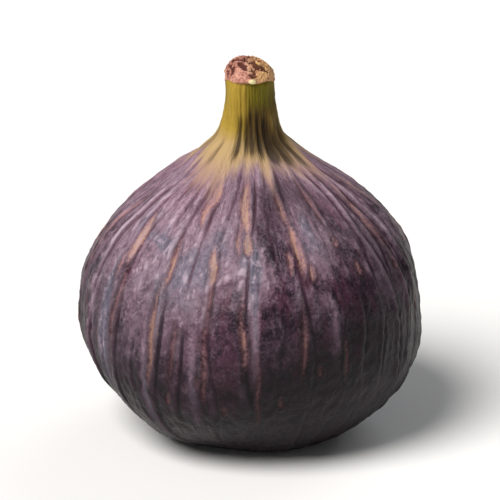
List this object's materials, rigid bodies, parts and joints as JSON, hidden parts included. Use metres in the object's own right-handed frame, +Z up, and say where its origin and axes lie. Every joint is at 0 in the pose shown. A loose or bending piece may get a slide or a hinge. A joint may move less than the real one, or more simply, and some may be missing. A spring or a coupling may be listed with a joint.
{
  "type": "fresh fig",
  "caption": "Whole fresh fig with a dark ribbed skin, a tapering green neck, a corky stalk end and a scaly closed eye; it stands on its flattened base.",
  "frame": {"origin": "centre of the fig's bounding box at the surface that it stands on", "axes": "+Z up, from the eye end to the stalk end; -Y is the side with the boldest copper cracks"},
  "size_m": [0.0568, 0.0564, 0.0644],
  "materials": {
    "fig_skin": "satin purple-brown fruit skin with a dull bloom, copper cracks along its veins and an olive neck",
    "stalk_cork": "dry, rough, corky tan with dark pits",
    "eye_scale": "dry, matte brown to yellow-green scales"
  },
  "bodies": {
    "root": {"fruit": "fig_skin", "stalk_end": "stalk_cork", "eye_scale_1": "eye_scale", "eye_scale_2": "eye_scale", "eye_scale_3": "eye_scale", "eye_scale_4": "eye_scale", "eye_scale_5": "eye_scale", "eye_scale_6": "eye_scale"}
  },
  "joints": []
}
